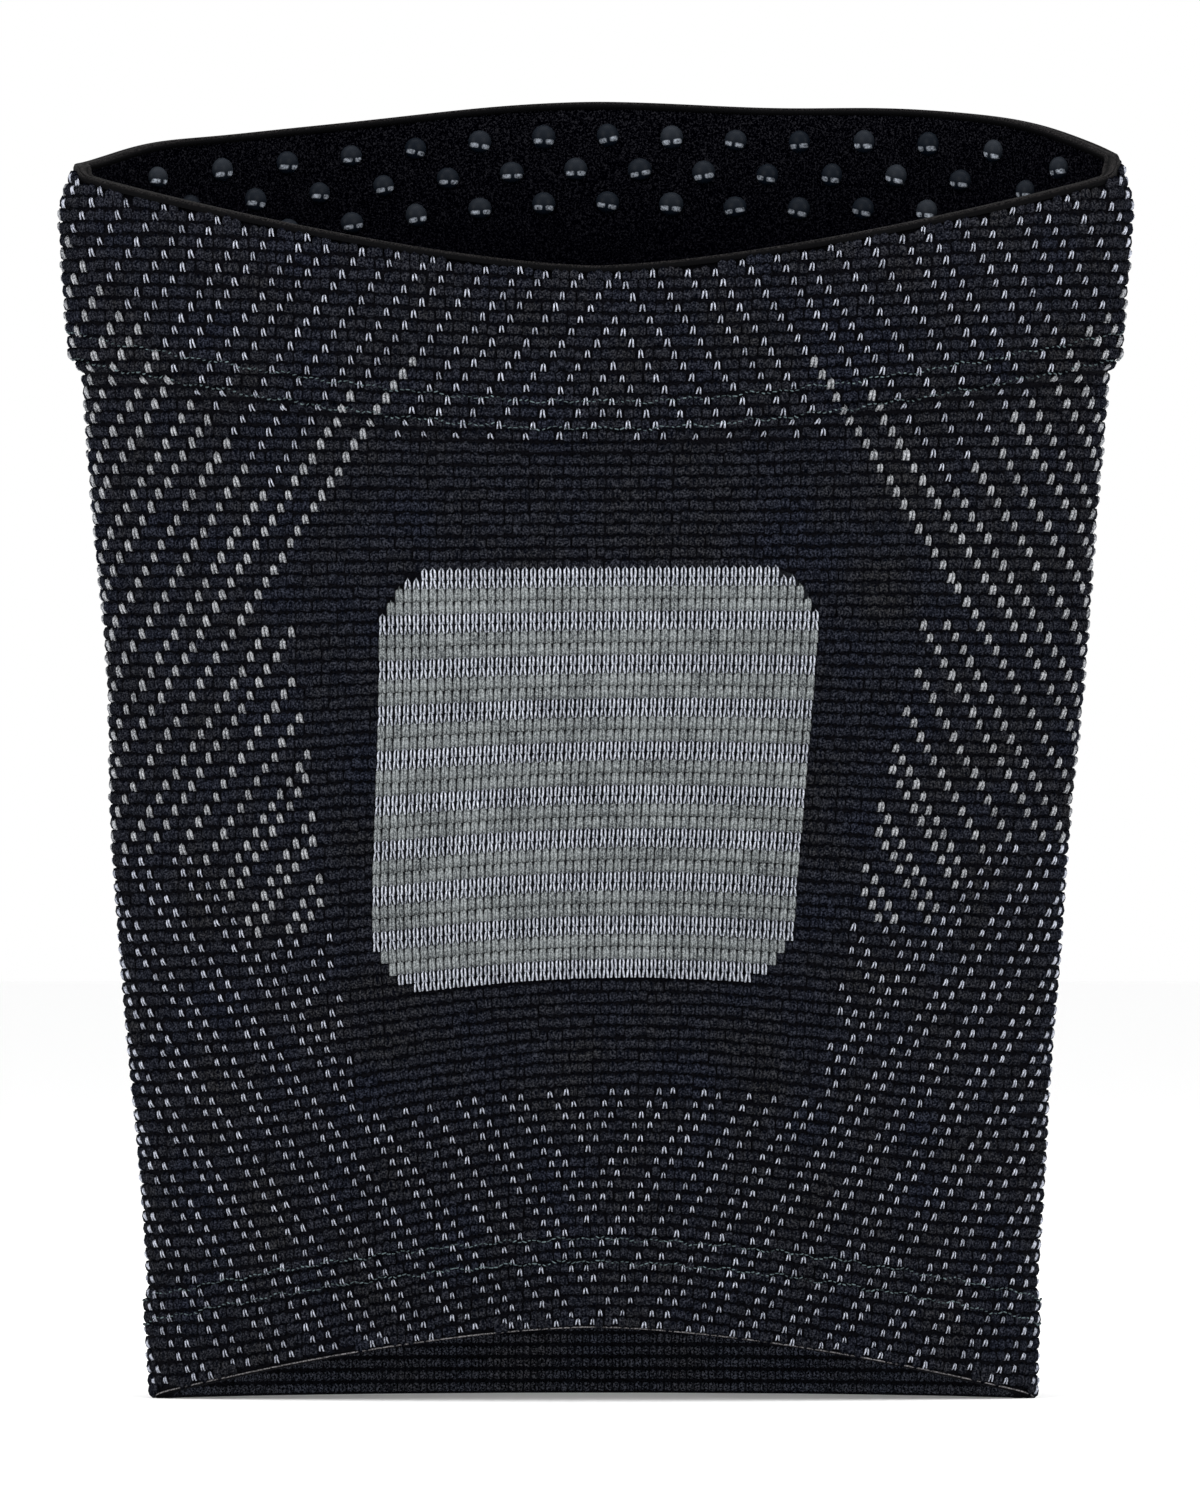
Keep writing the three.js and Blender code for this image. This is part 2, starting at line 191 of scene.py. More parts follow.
def proud(wale, height):
    """How far the doubled band, the doubled hem and the slack of the knit push the cloth out."""
    band_depth = BAND_HEIGHT + BAND_FOLD_DROP * side_of(wale)[2] ** 4
    band = BAND_PROUD * (1 - smooth((cloth_top(wale) - height - band_depth) / BAND_STEP))
    hem = HEM_PROUD * (1 - smooth((height - lower_height(wale) - HEM_HEIGHT) / HEM_STEP))
    slack = SLACK_DEPTH
    for length, turns in zip(SLACK_LENGTHS, SLACK_TURNS):
        slack = slack * np.sin(height / length + turns * 2 * np.pi * wale / WALES)
    return band + hem + slack - tuck(wale, height)


# Courses of the knit, counted down from the top of the front. They lie level round the back and climb
# towards the middle of the front, where they are closer together. The cloth sits a little askew on the
# form: its wales lean, and its courses climb to the right towards the foot.
FIRST_COURSE, LAST_COURSE = -18, 88
CENTRE_START, CENTRE_PITCH = 202.1, 2.206
SIDE_START, SIDE_PITCH = 205.3, 2.378
TURN_START, TURN_PER_COURSE = 2.2, -0.038
FACE_SHIFT = -1.5
TILT_PER_COURSE = 0.028


def side_blend(wale):
    """0 in the middle of the front, 1 at the folds and all over the back."""
    count = side_of(wale)[1]
    return (1 - np.cos(2 * np.pi * np.minimum(count / HALF_WALES, 0.5))) / 2


def course_pitch(wale):
    """Height of a course, by the knit's own wale."""
    tilt = TILT_PER_COURSE * np.sin(2 * np.pi * wale / WALES)
    return CENTRE_PITCH + side_blend(wale) * (SIDE_PITCH - CENTRE_PITCH) - tilt


def knit_place(wale, course):
    """Where a stitch lies on the sleeve, by its own wale and course: a wale and a height."""
    start = CENTRE_START + side_blend(wale) * (SIDE_START - CENTRE_START)
    shift = TURN_START + TURN_PER_COURSE * course + FACE_SHIFT * np.sin(2 * np.pi * wale / WALES)
    return wale + shift, start - course_pitch(wale) * course


def ring_piece(name, wales, heights, lifts, finish):
    """A closed ring: a loop of points, down the outside and up the inside, taken round the sleeve."""
    around, along = heights.shape
    column = np.repeat(wales[:, None], along, axis=1)
    points = skin(column, heights, lifts).reshape(-1, 3) * MILLIMETRE
    i, j = np.meshgrid(np.arange(around), np.arange(along), indexing="ij")
    after_i, after_j = (i + 1) % around, (j + 1) % along
    corners = [(i, j), (i, after_j), (after_i, after_j), (after_i, j)]
    faces = np.stack([a * along + b for a, b in corners], axis=-1).reshape(-1, 4)
    mesh = bpy.data.meshes.new(name)
    mesh.from_pydata(points.tolist(), [], faces.tolist())
    return finished_piece(name, mesh, finish)


def finished_piece(name, mesh, finish):
    """A smooth-shaded mesh as an object at the origin, in its finish, riding with the sleeve."""
    mesh.shade_smooth()
    mesh.materials.clear()
    mesh.materials.append(finish)
    piece = bpy.data.objects.new(name, mesh)
    bpy.context.scene.collection.objects.link(piece)
    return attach(piece, "root")


class Shade:
    """A value in a material. Arithmetic on it adds Math nodes, and node() adds any other node."""

    def __init__(self, tree, output=None):
        self.tree = tree
        self.output = output

    def node(self, kind, settings, sockets, output=0):
        made = self.tree.nodes.new(kind)
        for name, value in settings.items():
            setattr(made, name, value)
        for name, value in sockets.items():
            if isinstance(value, Shade):
                self.tree.links.new(value.output, made.inputs[name])
            else:
                made.inputs[name].default_value = value
        return Shade(self.tree, made.outputs[output])

    def maths(self, operation, *values):
        return self.node("ShaderNodeMath", {"operation": operation}, dict(enumerate(values)))

    def __add__(self, other):
        return self.maths("ADD", self, other)

    __radd__ = __add__

    def __mul__(self, other):
        return self.maths("MULTIPLY", self, other)

    __rmul__ = __mul__

    def __sub__(self, other):
        return self.maths("SUBTRACT", self, other)

    def __rsub__(self, other):
        return self.maths("SUBTRACT", other, self)

    def __pow__(self, other):
        return self.maths("POWER", self, other)

    def __abs__(self):
        return self.maths("ABSOLUTE", self)

    def kept(self):
        """The value, kept between 0 and 1."""
        return self.node("ShaderNodeClamp", {}, {"Value": self})

    def between(self, low, high):
        """0 at low and 1 at high."""
        sockets = {"Value": self, "From Min": low, "From Max": high}
        return self.node("ShaderNodeMapRange", {}, sockets)

    def mixed(self, first, second):
        """The first colour where the value is 0 and the second where it is 1."""
        sockets = {0: self, 6: first, 7: second}
        return self.node("ShaderNodeMix", {"data_type": "RGBA"}, sockets, 2)

    def speckle(self, size, detail=2.0, roughness=0.5):
        """Noise on the piece's own metres, whose grains are size millimetres across."""
        place = self.node("ShaderNodeTexCoord", {}, {}, "Object")
        sockets = {"Vector": place, "Scale": 1 / (size * MILLIMETRE)}
        sockets.update({"Detail": detail, "Roughness": roughness})
        return self.node("ShaderNodeTexNoise", {}, sockets)

    def relief(self, depth, strength):
        """A Bump node whose height is the value, for the shader's Normal."""
        sockets = {"Height": self, "Strength": strength, "Distance": depth * MILLIMETRE}
        return self.node("ShaderNodeBump", {}, sockets)

    def part(self, axis):
        """The X, Y or Z of a vector."""
        return self.node("ShaderNodeSeparateXYZ", {}, {"Vector": self}, axis)

    def attribute(self, name, output="Fac"):
        """What the piece's own mesh keeps under a name."""
        return self.node("ShaderNodeAttribute", {"attribute_name": name}, {}, output)


def srgb(red, green, blue):
    """A colour as it is seen, 0 to 255, as the linear colour that a shader takes."""
    shares = [channel / 255 for channel in (red, green, blue)]
    return [s / 12.92 if s <= 0.04045 else ((s + 0.055) / 1.055) ** 2.4 for s in shares] + [1.0]


def new_finish(name, settings, colour, bump=None):
    """A material from its plain Principled settings, its colour and, if it has one, its bump."""
    finish = bpy.data.materials.new(name)
    finish.use_nodes = True
    finish.diffuse_color = settings.pop("shown")
    shader = finish.node_tree.nodes["Principled BSDF"]
    for socket, value in settings.items():
        shader.inputs[socket].default_value = value
    made = colour(Shade(finish.node_tree))
    finish.node_tree.links.new(made.output, shader.inputs["Base Color"])
    if bump is not None:
        finish.node_tree.links.new(bump(Shade(finish.node_tree)).output, shader.inputs["Normal"])
    return finish


def yarn_finish(name, dark, light, patch_weight=0.15, tint_weight=0.15, fibre=0.32, relief=0.12):
    """Spun yarn, speckled by its own fibres. Its shade differs from stitch to stitch and by patches."""

    def colour(shade):
        fibres = shade.speckle(fibre, 1, 0.6).between(0.38, 0.66)
        patches = shade.speckle(9).between(0.35, 0.65)
        tint = shade.attribute("tint")
        mix = fibres * (1 - patch_weight - tint_weight) + patches * patch_weight + tint * tint_weight
        return mix.kept().mixed(srgb(*dark), srgb(*light))

    def bump(shade):
        return shade.speckle(fibre, 1, 0.6).relief(relief, 0.7)

    settings = {"Roughness": 1.0, "Specular IOR Level": 0.05, "shown": srgb(*light)}
    return new_finish(name, settings, colour, bump)


GROUND_SINK = 0.2  # the ground of the cloth lies this far below the middles of its stitches
EDGE_ROUND = 0.7  # how far the cut edges of the cloth round off
CLOTH_ROWS = 104
LINING_ROWS = 52

# The ground is the black knit, painted darker than its stitches as painted shade in the grooves between
# them.
cloth_painted_shade_finish = yarn_finish("black_knit_ground_painted_shade", (0, 0, 2), (12, 12, 16), relief=0.2)
wales = np.arange(WALES, dtype=float)
top, low = cloth_top(wales)[:, None], lower_height(wales)[:, None]
outside_share = np.linspace(0, 1, CLOTH_ROWS)[None, :]
inside_share = np.linspace(1, 0, LINING_ROWS)[None, :]
heights = np.concatenate([top + outside_share * (low - top), top + inside_share * (low - top)], axis=1)
column = np.repeat(wales[:, None], heights.shape[1], axis=1)
lifts = proud(column, heights)
lifts[:, :CLOTH_ROWS] -= GROUND_SINK
lifts[:, [0, CLOTH_ROWS - 1]] -= EDGE_ROUND
lifts[:, CLOTH_ROWS:] -= WALL
sleeve_cloth = ring_piece("sleeve_cloth", wales, heights, lifts, cloth_painted_shade_finish)
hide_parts("sleeve_knit")

# The stitches of the sleeve: each course is a row of plump loops of fuzzy black yarn, which run into
# their neighbours as one knobbly rib and leave a dark groove to the next course, deepened by painted
# shade on the loops' edges. The places are worked out once, for every wale and course between the two
# rims, and Geometry Nodes sets a loop on each.
STITCH_LIFT = 0.05
KNOB_WIDTH, KNOB_HEIGHT, KNOB_DEPTH = 1.26, 1.2, 1.15  # in wales, in courses and in millimetres
TOP_MARGIN, FOOT_MARGIN = 0.8, 1.1  # between the outer rows and the rims, in half courses
CORNER_START, CORNER_RISE = 0.88, 0.4  # near the folds the knit rises beside the edging of the rim
WANDER, WANDER_SEED = 0.15, 11  # how far a stitch strays from the line of its course
SWELL_SEED, TINT_SEED = 7.0, 13.0  # added to a piece's own seed


def stitch_places(wale, height, lift=0.0):
    """Where stitches sit: their points, the way they face, the way up, and the wale's width there."""
    reach = 0.05
    centre = skin(wale, height, proud(wale, height) + lift)
    beside = skin(wale + reach, height, proud(wale + reach, height) + lift)
    above = skin(wale, height + reach, proud(wale, height + reach) + lift)
    along_course = beside - centre
    up = (above - centre) / np.linalg.norm(above - centre, axis=-1, keepdims=True)
    width = np.linalg.norm(along_course, axis=-1) / reach
    facing = np.cross(along_course, up)
    facing /= np.linalg.norm(facing, axis=-1, keepdims=True)
    return centre, facing, up, width


def vertex_attribute(mesh, name, values):
    layer = mesh.attributes.new(name, "FLOAT_VECTOR", "POINT")
    layer.data.foreach_set("vector", np.asarray(values, np.float32).ravel())


def placing_tree():
    """Sets a stitch on every place, turned and sized as the place says, with a little disorder."""
    tree = bpy.data.node_groups.new("set_stitches", "GeometryNodeTree")
    new_socket = tree.interface.new_socket
    new_socket("Places", in_out="INPUT", socket_type="NodeSocketGeometry")
    kinds = {"Stitch": "Object", "Yarn": "Material", "Turn": "Float", "Swell": "Float", "Seed": "Int"}
    for name, kind in kinds.items():
        new_socket(name, in_out="INPUT", socket_type="NodeSocket" + kind)
    new_socket("Stitches", in_out="OUTPUT", socket_type="NodeSocketGeometry")

    def add(kind, settings, sockets):
        node = tree.nodes.new(kind)
        for name, value in settings.items():
            setattr(node, name, value)
        for name, value in sockets.items():
            if isinstance(value, bpy.types.NodeSocket):
                tree.links.new(value, node.inputs[name])
            else:
                node.inputs[name].default_value = value
        return node

    def maths(operation, first, second):
        return add("ShaderNodeMath", {"operation": operation}, {0: first, 1: second}).outputs[0]

    def place(name):
        node = add("GeometryNodeInputNamedAttribute", {"data_type": "FLOAT_VECTOR"}, {"Name": name})
        return node.outputs["Attribute"]

    given = tree.nodes.new("NodeGroupInput").outputs
    stitch = add("GeometryNodeObjectInfo", {}, {"Object": given["Stitch"]})
    faced = add(
        "FunctionNodeAxesToRotation",
        {"primary_axis": "Z", "secondary_axis": "Y"},
        {"Primary Axis": place("facing"), "Secondary Axis": place("upward")},
    )
    turn_range = {2: maths("MULTIPLY", given["Turn"], -1.0), 3: given["Turn"], "Seed": given["Seed"]}
    turn = add("FunctionNodeRandomValue", {}, turn_range)
    lean = add("ShaderNodeCombineXYZ", {}, {"Z": turn.outputs[1]})
    turned = add(
        "FunctionNodeRotateRotation",
        {"rotation_space": "LOCAL"},
        {"Rotation": faced.outputs[0], "Rotate By": lean.outputs[0]},
    )
    swell_range = {0: maths("SUBTRACT", 1.0, given["Swell"]), 1: maths("ADD", 1.0, given["Swell"])}
    swell_range["Seed"] = maths("ADD", given["Seed"], SWELL_SEED)
    swell = add("FunctionNodeRandomValue", {"data_type": "FLOAT_VECTOR"}, swell_range)
    swollen = {0: place("size"), 1: swell.outputs[0]}
    size = add("ShaderNodeVectorMath", {"operation": "MULTIPLY"}, swollen)
    placed = add(
        "GeometryNodeInstanceOnPoints",
        {},
        {
            "Points": given["Places"],
            "Instance": stitch.outputs["Geometry"],
            "Rotation": turned.outputs[0],
            "Scale": size.outputs[0],
        },
    )
    tint = add("FunctionNodeRandomValue", {}, {"Seed": maths("ADD", given["Seed"], TINT_SEED)})
    tinted = add(
        "GeometryNodeStoreNamedAttribute",
        {"domain": "INSTANCE"},
        {"Geometry": placed.outputs[0], "Name": "tint", "Value": tint.outputs[1]},
    )
    real = add("GeometryNodeRealizeInstances", {}, {"Geometry": tinted.outputs[0]})
    dyed = add("GeometryNodeSetMaterial", {}, {"Geometry": real.outputs[0], "Material": given["Yarn"]})
    tree.links.new(dyed.outputs[0], tree.nodes.new("NodeGroupOutput").inputs[0])
    return tree


stitch_tree = placing_tree()


def set_stitches(name, stitch, finish, places, sizes, turn=0.08, swell=0.06, seed=1):
    """One piece made of a copy of the stitch on each place. Sizes are width, height and depth."""
    centre, facing, up, _ = places
    host_mesh = bpy.data.meshes.new(name + "_places")
    host_mesh.from_pydata((centre * MILLIMETRE).tolist(), [], [])
    vertex_attribute(host_mesh, "facing", facing)
    vertex_attribute(host_mesh, "upward", up)
    vertex_attribute(host_mesh, "size", sizes * MILLIMETRE)
    host = bpy.data.objects.new(name + "_places", host_mesh)
    bpy.context.scene.collection.objects.link(host)
    modifier = host.modifiers.new("stitches", "NODES")
    modifier.node_group = stitch_tree
    given = {"Stitch": stitch, "Yarn": finish, "Turn": turn, "Swell": swell, "Seed": seed}
    for item in stitch_tree.interface.items_tree:
        if item.name in given:
            modifier[item.identifier] = given[item.name]
    evaluated = host.evaluated_get(bpy.context.evaluated_depsgraph_get())
    mesh = bpy.data.meshes.new_from_object(evaluated)
    mesh.name = name
    bpy.data.objects.remove(host)
    return finished_piece(name, mesh, finish)


def template(name, points, faces):
    """A stitch of unit size that Geometry Nodes copies. It isn't shown itself."""
    mesh = bpy.data.meshes.new(name)
    mesh.from_pydata(points, [], faces)
    mesh.shade_smooth()
    return bpy.data.objects.new(name, mesh)


def plump_loop():
    """A low knob, a little heart-shaped, closed below. It keeps its own place for its colour and its
    painted shade.
    """
    spokes = [math.radians(90 - 60 * spoke) for spoke in range(6)]
    foot = [(0.5 * math.cos(angle), 0.5 * math.sin(angle), -0.5) for angle in spokes]
    shoulder = [(0.42 * math.cos(angle), 0.42 * math.sin(angle), 0.24) for angle in spokes]
    shoulder[3] = (0, -0.32, 0.0)
    faces = [[12, 6 + i, 6 + (i + 1) % 6] for i in range(6)]
    faces += [[i, (i + 1) % 6, 6 + (i + 1) % 6, 6 + i] for i in range(6)]
    faces = [face[::-1] for face in faces] + [[0, 1, 2, 3, 4, 5]]
    points = foot + shoulder + [(0, 0.06, 0.45)]
    made = template("plump_loop", points, faces)
    vertex_attribute(made.data, "stitch_place", points)
    return made


def black_yarn(name, cool, warm):
    """Black yarn: two legs to a loop, cool and warm by patches, and painted shade that turns it nearly
    black towards the grooves.
    """

    def colour(shade):
        place = shade.attribute("stitch_place", "Vector")
        across = place.part("X") + shade.speckle(0.5) * 0.2 - 0.1
        # The two legs are the loop's own; painted shade darkens it between them, towards its top and
        # foot, and at its sides.
        legs = 0.5 - 0.5 * shade.maths("COSINE", across * (4 * math.pi))
        painted_groove_shade = 1 - (abs(place.part("Y") + shade.speckle(0.6) * 0.36 - 0.18) * 2.15) ** 3
        painted_side_shade = 1 - 0.3 * (abs(place.part("X")) * 2.1) ** 4
        fibres = shade.speckle(0.34, 1, 0.6).between(0.46, 0.68)
        mix = (fibres * 0.88 + legs * 0.12) * painted_groove_shade.kept() * painted_side_shade.kept()
        light = shade.speckle(14).between(0.3, 0.7).mixed(srgb(*cool), srgb(*warm))
        return mix.kept().mixed(srgb(2, 3, 7), light)

    def bump(shade):
        return shade.speckle(0.34, 1, 0.6).relief(0.25, 0.9)

    settings = {"Roughness": 1.0, "Specular IOR Level": 0.0, "shown": srgb(*cool)}
    return new_finish(name, settings, colour, bump)


black_finish = black_yarn("black_yarn", (46, 49, 60), (52, 52, 54))
knob = plump_loop()

own_wales, all_courses = np.meshgrid(
    np.arange(WALES, dtype=float), np.arange(FIRST_COURSE, LAST_COURSE, dtype=float), indexing="ij"
)
own_wales, all_courses = own_wales.ravel(), all_courses.ravel()
all_wales, all_heights = knit_place(own_wales, all_courses)
half_pitch = course_pitch(own_wales) / 2
corner = smooth((side_of(all_wales)[2] - CORNER_START) / (1 - CORNER_START))
highest = cloth_top(all_wales) + CORNER_RISE * corner - TOP_MARGIN * half_pitch
lowest = lower_height(all_wales) + FOOT_MARGIN * half_pitch
spare = FOOT_MARGIN * half_pitch
is_cloth = (all_heights < highest + spare) & (all_heights > lowest - spare)
all_heights = np.clip(all_heights, lowest, highest)
own_wales, all_courses = own_wales[is_cloth], all_courses[is_cloth]
all_wales, all_heights = all_wales[is_cloth], all_heights[is_cloth]
all_pitches = 2 * half_pitch[is_cloth]
chance = np.random.default_rng(WANDER_SEED)
all_heights = all_heights + WANDER * np.clip(chance.normal(size=len(all_heights)), -2, 2)
all_wales = all_wales + 0.5 * WANDER * np.clip(chance.normal(size=len(all_wales)), -2, 2)
all_counts = side_of(own_wales)[1]
is_front, is_right = all_counts <= HALF_WALES / 2, own_wales <= HALF_WALES

# Chart of the pattern, by rule: rise and fall are the two families of slanting lines. Upper lines stand
# 3 or 4 wales apart, and below the knee the lines run in pairs, 6 wales from pair to pair.
PAIR_PITCH = 6
UPPER_GAPS = (4, 3, 4, 4, 4, 4, 3, 4, 4, 3, 4, 4, 4, 3, 4, 3)
FIRST_LINE, LAST_LINE = -10, 140
UPPER_FIELD_END = 9
CLEAR_TOP_END = 24
CLEAR_LINE = 17
CLEAR_EDGE, CLEAR_EDGE_SLOPE = 38, 0.21
TURN_COURSE, TURN_FALL = 43, 93
LOWER_FIELD_START, LOWER_JOIN = 65, 88
GREY_FALL, GREY_END = 55, 49
EARLY_GREY = {17: -1, 20: 3, 24: 6}  # lines that are grey from higher up, each from this course

upper_lines = [FIRST_LINE]
while upper_lines[-1] < LAST_LINE:
    upper_lines.append(upper_lines[-1] + UPPER_GAPS[(len(upper_lines) - 1) % len(UPPER_GAPS)])
rise, fall = all_counts - all_courses, all_counts + all_courses
on_upper_line = np.isin(rise, upper_lines)
on_rising_pair = (rise < 1) & np.isin(-rise % PAIR_PITCH, (1, 5))
on_falling_pair = np.isin(fall % PAIR_PITCH, (3, 5))
is_turned = (all_courses >= TURN_COURSE) & (fall >= TURN_FALL)
is_clear = all_counts < CLEAR_EDGE - CLEAR_EDGE_SLOPE * (all_courses - CLEAR_TOP_END - 1)
upper = on_upper_line & ((all_courses <= UPPER_FIELD_END) | (rise >= CLEAR_LINE))
on_middle_line = (on_upper_line & (rise >= 1)) | on_rising_pair
middle = ~is_clear & np.where(is_turned, on_falling_pair, on_middle_line)
on_inner_pair = np.isin(fall % PAIR_PITCH, (2, 4))
lower = np.where(fall < LOWER_JOIN, on_inner_pair, on_falling_pair & (fall > LOWER_JOIN))
in_upper, in_lower = all_courses <= CLEAR_TOP_END, all_courses >= LOWER_FIELD_START
is_dot = np.where(in_upper, upper, np.where(in_lower, lower, middle))
is_greyed = fall >= GREY_FALL
for line, from_course in EARLY_GREY.items():
    is_greyed |= (rise == line) & (all_courses >= from_course)
is_grey = is_dot & ~is_turned & (all_courses <= GREY_END) & is_greyed
is_bright = is_dot & ~is_grey

# Where the kneecap field takes the place of the sleeve's own stitches, with its stepped corners
PANEL_TOP_COURSE, PANEL_END_COURSE = 20.2, 55.2
PANEL_MIDDLE = -1
CORNER_DEPTHS = (0, 0.8, 1.6, 2.7, 3.8)
CORNER_REACHES = (21, 23, 24, 25, 26)


def panel_reach(depth):
    """Wales from the middle to the field's edge, by courses from its nearer end."""
    steps = np.searchsorted(CORNER_DEPTHS, depth, side="right") - 1
    return np.array(CORNER_REACHES)[np.clip(steps, 0, len(CORNER_REACHES) - 1)]


field_depth = np.minimum(all_courses - PANEL_TOP_COURSE, PANEL_END_COURSE - all_courses)
signed_wales = np.where(own_wales > HALF_WALES, own_wales - WALES, own_wales)
is_field = (field_depth >= 0) & (np.abs(signed_wales - PANEL_MIDDLE) <= panel_reach(field_depth))
is_black = ~is_dot & ~is_field

quarters = {
    "front_right": is_front & is_right,
    "front_left": is_front & ~is_right,
    "back_right": ~is_front & is_right,
    "back_left": ~is_front & ~is_right,
}
for seed, (quarter, is_here) in enumerate(quarters.items()):
    chosen = is_black & is_here
    places = stitch_places(all_wales[chosen], all_heights[chosen], STITCH_LIFT)
    pitch = all_pitches[chosen]
    depths = np.full_like(pitch, KNOB_DEPTH)
    sizes = np.stack([KNOB_WIDTH * places[3], KNOB_HEIGHT * pitch, depths], axis=-1)
    piece = set_stitches(f"black_stitches_{quarter}", knob, black_finish, places, sizes, seed=20 * seed)

# The pattern stitches: thin upturned loops of pale lilac yarn, and fuller, hairier loops of grey yarn,
# each in the place of one black stitch. They are knitted in and show two legs that spread at the foot.
BRIGHT_SIZE = (1.16, 0.72, 0.85)  # width, height in courses, and depth
GREY_SIZE = (1.5, 0.92, 1.0)
PATTERN_LIFT = STITCH_LIFT + 0.12
SHRINK = 0.18  # the loops are pulled smaller towards the foot
LOOP_DEPTH = 0.3


def two_legs(name, spread, neck, thickness, shoulder=0.3, foot=-0.3):
    """A loop of yarn: a leg up each side and a bend at the top. Both feet are closed."""
    sides = 3
    right = [(spread, -0.5, foot), (neck, 0.0, 0.3), (0.85 * neck, shoulder, 0.3)]
    line = [(-x, y, z) for x, y, z in right] + [(0, 0.46, 0.2)] + right[::-1]
    leans = (1, 1, 0.8, 0, -0.8, -1, -1)
    points = []
    for (x, y, z), lean in zip(line, leans):
        for side in range(sides):
            angle = math.radians(90 + 120 * side)
            across, out = thickness * math.cos(angle), LOOP_DEPTH * math.sin(angle)
            points.append((x + lean * across, y + 0.5 * (1 - abs(lean)) * across, z + out))
    faces = []
    for station in range(len(line) - 1):
        for side in range(sides):
            here, there = station * sides, (station + 1) * sides
            after = (side + 1) % sides
            faces.append([here + side, there + side, there + after, here + after])
    faces.append(list(range(sides)))
    faces.append([len(points) - 1 - side for side in range(sides)])
    return template(name, points, faces)


bright_finish = yarn_finish(
    "lilac_yarn", (84, 88, 100), (216, 220, 233), tint_weight=0.3, relief=0.1
)
grey_finish = yarn_finish("grey_yarn", (50, 52, 56), (184, 186, 190), relief=0.15)
thin_loop = two_legs("thin_loop", 0.37, 0.25, 0.18, 0.32)
full_loop = two_legs("full_loop", 0.29, 0.23, 0.31, 0.34)

for name, is_kind, loop, finish, (width, height, depth) in (
    ("lilac_stitches", is_bright, thin_loop, bright_finish, BRIGHT_SIZE),
    ("grey_stitches", is_grey, full_loop, grey_finish, GREY_SIZE),
):
    for face, is_face in (("front", is_front), ("back", ~is_front)):
        chosen = is_kind & is_face & ~is_field
        places = stitch_places(all_wales[chosen], all_heights[chosen], PATTERN_LIFT)
        pitch = all_pitches[chosen]
        shrink = 1 - SHRINK * (all_courses[chosen] - FIRST_COURSE) / (LAST_COURSE - FIRST_COURSE)
        sizes = np.stack([width * shrink, height * shrink * pitch, depth * shrink], axis=-1)
        piece = set_stitches(
            f"{name}_{face}", loop, finish, places, sizes, turn=0.1, swell=0.12, seed=101
        )

# The kneecap field: an inlay of thicker grey knit with a doubled white course between every two grey
# ones, knitted into the black cloth over the kneecap. A dark ground shows between its stitches.
PANEL_WIDTH = 83
PANEL_HEIGHT = 78.5
PANEL_CENTRE_HEIGHT = 118.4
PANEL_TILT = 0.0425
PANEL_CORNER = 8
PANEL_SEAT = 1.2
PANEL_GROUND_LIFT = 0.1
PANEL_EDGE_START, PANEL_EDGE_FALL = 0.94, 0.6
PANEL_STITCH_LIFT, PANEL_STITCH_DEPTH = 0.45, 0.8
USUAL_WALE = 1.6  # width of a wale, by which the loops of the field are sized
WHITE_BANDS = 10
WHITE_COURSE, GREY_COURSE = 0.78, 1.0775  # heights of a course, in courses of the black knit
PANEL_SPOKES = 72
PANEL_RINGS = 14


def rounded_outline():
    """Evenly spread points of the field's round-cornered outline, about its own middle."""
    half, up, corner = PANEL_WIDTH / 2, PANEL_HEIGHT / 2, PANEL_CORNER
    angles = np.linspace(0, 2 * np.pi, PANEL_SPOKES, endpoint=False)
    across, rise = np.cos(angles), np.sin(angles)
    inner = np.stack([np.sign(across) * (half - corner), np.sign(rise) * (up - corner)], axis=-1)
    reach = np.minimum(half / np.maximum(np.abs(across), 1e-9), up / np.maximum(np.abs(rise), 1e-9))
    square = np.stack([across, rise], axis=-1) * reach[:, None]
    is_corner = (np.abs(square[:, 0]) > half - corner) & (np.abs(square[:, 1]) > up - corner)
    away = square - inner
    length = np.maximum(np.linalg.norm(away, axis=-1, keepdims=True), 1e-9)
    return np.where(is_corner[:, None], inner + away / length * corner, square)


